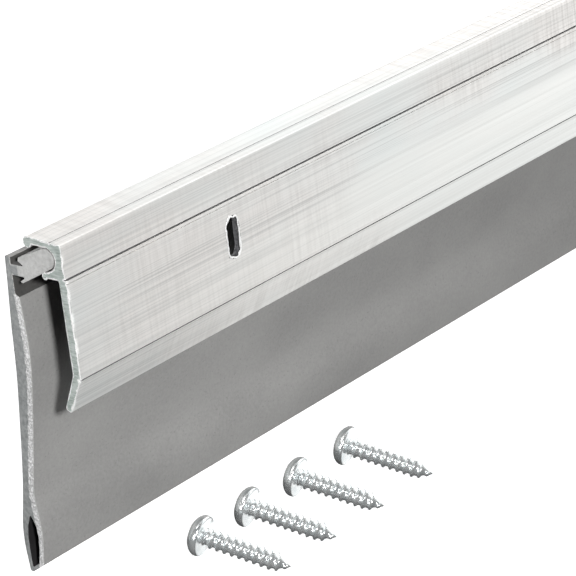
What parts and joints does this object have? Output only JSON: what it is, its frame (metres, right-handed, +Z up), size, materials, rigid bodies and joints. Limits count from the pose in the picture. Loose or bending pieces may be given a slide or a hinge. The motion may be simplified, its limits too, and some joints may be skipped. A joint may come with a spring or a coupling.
{
  "type": "door sweep",
  "caption": "Door sweep: a slotted aluminium carrier strip with a soft vinyl insert that hangs from its channel and ends in a hollow hem, with loose mounting screws.",
  "frame": {"origin": "on the carrier's mounting face, at mid-length and at the height of the slots' centres", "axes": "+X along the door, -Y out of the mounting face towards the door, +Y towards the vinyl, +Z up"},
  "size_m": [0.9144, 0.04, 0.0642],
  "materials": {
    "mill_aluminium": "mill finish with fine lengthwise drawing lines",
    "grey_vinyl": "matte, soft PVC",
    "zinc_plated_steel": "bright zinc plating"
  },
  "bodies": {
    "carrier": {"carrier": "mill_aluminium"},
    "insert": {"insert_head": "grey_vinyl"},
    "flap": {"flap_web": "grey_vinyl"},
    "hem": {"hem_bulb": "grey_vinyl"},
    "screw_1": {"mounting_screw_1": "zinc_plated_steel"},
    "screw_2": {"mounting_screw_2": "zinc_plated_steel"},
    "screw_3": {"mounting_screw_3": "zinc_plated_steel"},
    "screw_4": {"mounting_screw_4": "zinc_plated_steel"}
  },
  "joints": [
    {"name": "insert_slide", "type": "slide", "parent": "carrier", "child": "insert", "axis": [1, 0, 0], "range_m": [0, 0.9144]},
    {"name": "flap_lift", "type": "hinge", "parent": "insert", "child": "flap", "pos_m": [0, 0.013, 0.0036], "axis": [1, 0, 0], "range_deg": [-8, 70], "stiffness_Nm_per_rad": 0.6},
    {"name": "hem_flex", "type": "hinge", "parent": "flap", "child": "hem", "pos_m": [0, 0.01468, -0.022], "axis": [1, 0, 0], "range_deg": [-15, 25], "stiffness_Nm_per_rad": 1.2},
    {"name": "screw_1_lift", "type": "slide", "parent": "carrier", "child": "screw_1", "axis": [0, 0, 1], "range_m": [0, 0.08]},
    {"name": "screw_2_lift", "type": "slide", "parent": "carrier", "child": "screw_2", "axis": [0, 0, 1], "range_m": [0, 0.08]},
    {"name": "screw_3_lift", "type": "slide", "parent": "carrier", "child": "screw_3", "axis": [0, 0, 1], "range_m": [0, 0.08]},
    {"name": "screw_4_lift", "type": "slide", "parent": "carrier", "child": "screw_4", "axis": [0, 0, 1], "range_m": [0, 0.08]}
  ]
}
